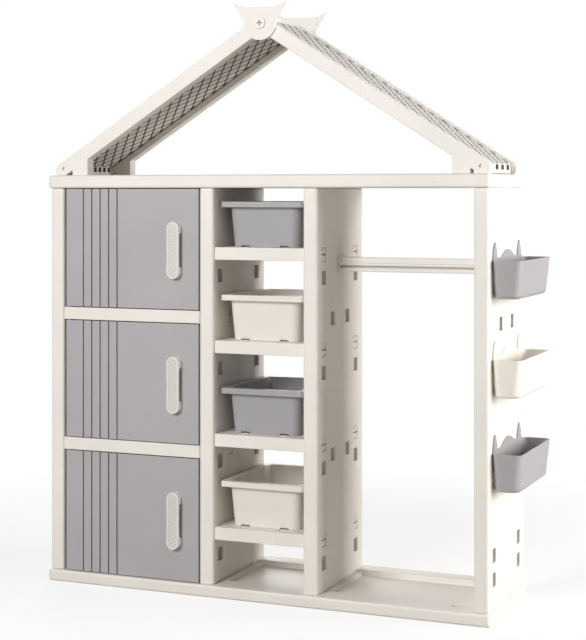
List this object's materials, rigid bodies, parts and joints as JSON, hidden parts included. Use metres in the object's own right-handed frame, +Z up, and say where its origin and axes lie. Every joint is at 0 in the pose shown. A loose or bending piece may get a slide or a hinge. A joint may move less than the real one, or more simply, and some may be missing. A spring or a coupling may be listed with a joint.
{
  "type": "kids wardrobe",
  "caption": "Moulded plastic children's wardrobe with a gable roof, door cabinets, boxes on shelves, a hanging rail and hook-on side baskets.",
  "frame": {"origin": "on the floor, at the middle of the base board's underside", "axes": "+X to the right along the front, +Y to the back, +Z up; the doors face -Y"},
  "size_m": [1.1107, 0.306, 1.3101],
  "materials": {
    "shell_plastic": "satin",
    "rod_plastic": "satin",
    "roof_plastic": "satin",
    "patterned_plastic": "satin",
    "dark_plastic": "matt",
    "door_plastic": "satin",
    "handle_plastic": "satin",
    "pin_plastic": "satin",
    "screw_steel": "zinc plated",
    "grey_plastic": "satin",
    "cream_plastic": "satin"
  },
  "bodies": {
    "carcass": {"base_board": "shell_plastic", "top_board": "shell_plastic", "left_side_panel": "shell_plastic", "left_divider_panel": "shell_plastic", "right_divider_panel": "shell_plastic", "right_side_panel": "shell_plastic", "cabinet_back_panel": "shell_plastic", "upper_cabinet_shelf": "shell_plastic", "lower_cabinet_shelf": "shell_plastic", "top_bin_shelf": "shell_plastic", "upper_bin_shelf": "shell_plastic", "lower_bin_shelf": "shell_plastic", "bottom_bin_shelf": "shell_plastic", "hanging_rod": "rod_plastic", "left_rod_socket": "shell_plastic", "right_rod_socket": "shell_plastic", "front_left_rafter": "roof_plastic", "front_right_rafter": "roof_plastic", "rear_left_rafter": "roof_plastic", "rear_right_rafter": "roof_plastic", "left_roof_panel": "patterned_plastic", "right_roof_panel": "patterned_plastic", "left_eave_strip": "dark_plastic", "right_eave_strip": "dark_plastic", "front_ridge_cap": "roof_plastic", "rear_ridge_cap": "roof_plastic", "ridge_screws": "roof_plastic", "eave_pins": "roof_plastic"},
    "lower_door_leaf": {"lower_door": "door_plastic", "lower_door_pins": "pin_plastic", "lower_door_handle": "handle_plastic", "lower_handle_screws": "screw_steel"},
    "middle_door_leaf": {"middle_door": "door_plastic", "middle_door_pins": "pin_plastic", "middle_door_handle": "handle_plastic", "middle_handle_screws": "screw_steel"},
    "upper_door_leaf": {"upper_door": "door_plastic", "upper_door_pins": "pin_plastic", "upper_door_handle": "handle_plastic", "upper_handle_screws": "screw_steel"},
    "top_bin_tub": {"top_bin": "grey_plastic"},
    "upper_bin_tub": {"upper_bin": "cream_plastic"},
    "lower_bin_tub": {"lower_bin": "grey_plastic"},
    "bottom_bin_tub": {"bottom_bin": "cream_plastic"},
    "upper_basket_tub": {"upper_side_basket": "grey_plastic"},
    "middle_basket_tub": {"middle_side_basket": "cream_plastic"},
    "lower_basket_tub": {"lower_side_basket": "grey_plastic"}
  },
  "joints": [
    {"name": "lower_door_hinge", "type": "hinge", "parent": "carcass", "child": "lower_door_leaf", "pos_m": [-0.47825, -0.1335, 0.165], "axis": [0, 0, -1], "range_deg": [0, 100]},
    {"name": "middle_door_hinge", "type": "hinge", "parent": "carcass", "child": "middle_door_leaf", "pos_m": [-0.47825, -0.1335, 0.4675], "axis": [0, 0, -1], "range_deg": [0, 100]},
    {"name": "upper_door_hinge", "type": "hinge", "parent": "carcass", "child": "upper_door_leaf", "pos_m": [-0.47825, -0.1335, 0.7675], "axis": [0, 0, -1], "range_deg": [0, 100]},
    {"name": "top_bin_slide", "type": "slide", "parent": "carcass", "child": "top_bin_tub", "axis": [0, -1, 0], "range_m": [0, 0.27]},
    {"name": "upper_bin_slide", "type": "slide", "parent": "carcass", "child": "upper_bin_tub", "axis": [0, -1, 0], "range_m": [0, 0.27]},
    {"name": "lower_bin_slide", "type": "slide", "parent": "carcass", "child": "lower_bin_tub", "axis": [0, -1, 0], "range_m": [0, 0.27]},
    {"name": "bottom_bin_slide", "type": "slide", "parent": "carcass", "child": "bottom_bin_tub", "axis": [0, -1, 0], "range_m": [0, 0.27]},
    {"name": "upper_basket_lift", "type": "slide", "parent": "carcass", "child": "upper_basket_tub", "axis": [0, 0, 1], "range_m": [0, 0.009]},
    {"name": "middle_basket_lift", "type": "slide", "parent": "carcass", "child": "middle_basket_tub", "axis": [0, 0, 1], "range_m": [0, 0.009]},
    {"name": "lower_basket_lift", "type": "slide", "parent": "carcass", "child": "lower_basket_tub", "axis": [0, 0, 1], "range_m": [0, 0.009]}
  ]
}
